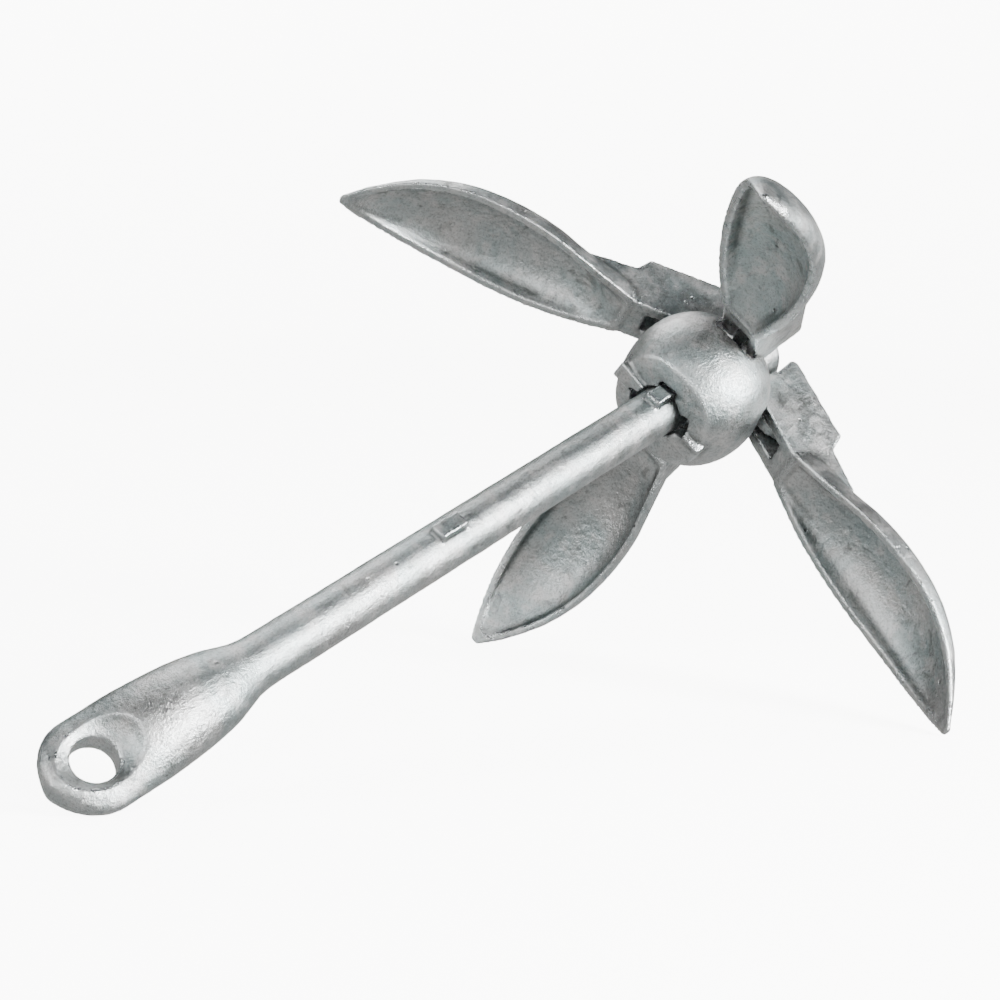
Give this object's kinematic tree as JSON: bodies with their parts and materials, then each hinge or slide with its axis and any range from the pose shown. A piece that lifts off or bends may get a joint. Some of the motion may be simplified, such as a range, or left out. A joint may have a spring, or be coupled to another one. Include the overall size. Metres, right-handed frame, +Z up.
{
  "type": "folding grapnel anchor",
  "caption": "Folding grapnel boat anchor: round shank with an eye, a sliding ball-shaped locking collar, and hinged spoon flukes, open.",
  "frame": {"origin": "centre of the bounding box, at the height of the surface the open anchor lies on", "axes": "+X from the eye towards the crown, along the longest extent; +Z up from the surface; +Y to the left of +X"},
  "size_m": [0.3414, 0.2244, 0.1975],
  "materials": {
    "galvanised_iron": "hot-dip galvanised casting, satin, with fine cast grain",
    "zinc_filled_pin": "hot-dip galvanised rivet set flush, satin"
  },
  "bodies": {
    "anchor_shank": {"shank": "galvanised_iron", "crown": "galvanised_iron"},
    "collar": {"collar": "galvanised_iron"},
    "fluke_1": {"fluke_1": "galvanised_iron", "hinge_pin_1": "zinc_filled_pin"},
    "fluke_2": {"fluke_2": "galvanised_iron", "hinge_pin_2": "zinc_filled_pin"},
    "fluke_3": {"fluke_3": "galvanised_iron", "hinge_pin_3": "zinc_filled_pin"},
    "fluke_4": {"fluke_4": "galvanised_iron", "hinge_pin_4": "zinc_filled_pin"}
  },
  "joints": [
    {"name": "fluke_1_fold", "type": "hinge", "parent": "anchor_shank", "child": "fluke_1", "pos_m": [0.13964, 0.02217, 0.14366], "axis": [-0.2547, -0.687, 0.6805], "range_deg": [0, 54]},
    {"name": "fluke_2_fold", "type": "hinge", "parent": "anchor_shank", "child": "fluke_2", "pos_m": [0.13959, -0.01601, 0.14378], "axis": [0.2496, -0.7022, -0.6668], "range_deg": [0, 55.7]},
    {"name": "fluke_3_fold", "type": "hinge", "parent": "anchor_shank", "child": "fluke_3", "pos_m": [0.15298, -0.01615, 0.10802], "axis": [0.2492, 0.7033, -0.6657], "range_deg": [0, 70.3]},
    {"name": "fluke_4_fold", "type": "hinge", "parent": "anchor_shank", "child": "fluke_4", "pos_m": [0.15302, 0.02204, 0.1079], "axis": [-0.2509, 0.6985, 0.6702], "range_deg": [0, 62]},
    {"name": "collar_slide", "type": "slide", "parent": "anchor_shank", "child": "collar", "axis": [-0.9365, 0, -0.3506], "range_m": [0, 0.155]}
  ],
  "couplings": [
    {"joint": "fluke_2_fold", "follows": "fluke_1_fold", "ratio": 1.0314},
    {"joint": "fluke_3_fold", "follows": "fluke_1_fold", "ratio": 1.3018},
    {"joint": "fluke_4_fold", "follows": "fluke_1_fold", "ratio": 1.1481},
    {"joint": "collar_slide", "follows": "fluke_1_fold", "m_per_rad": 0.1644}
  ]
}
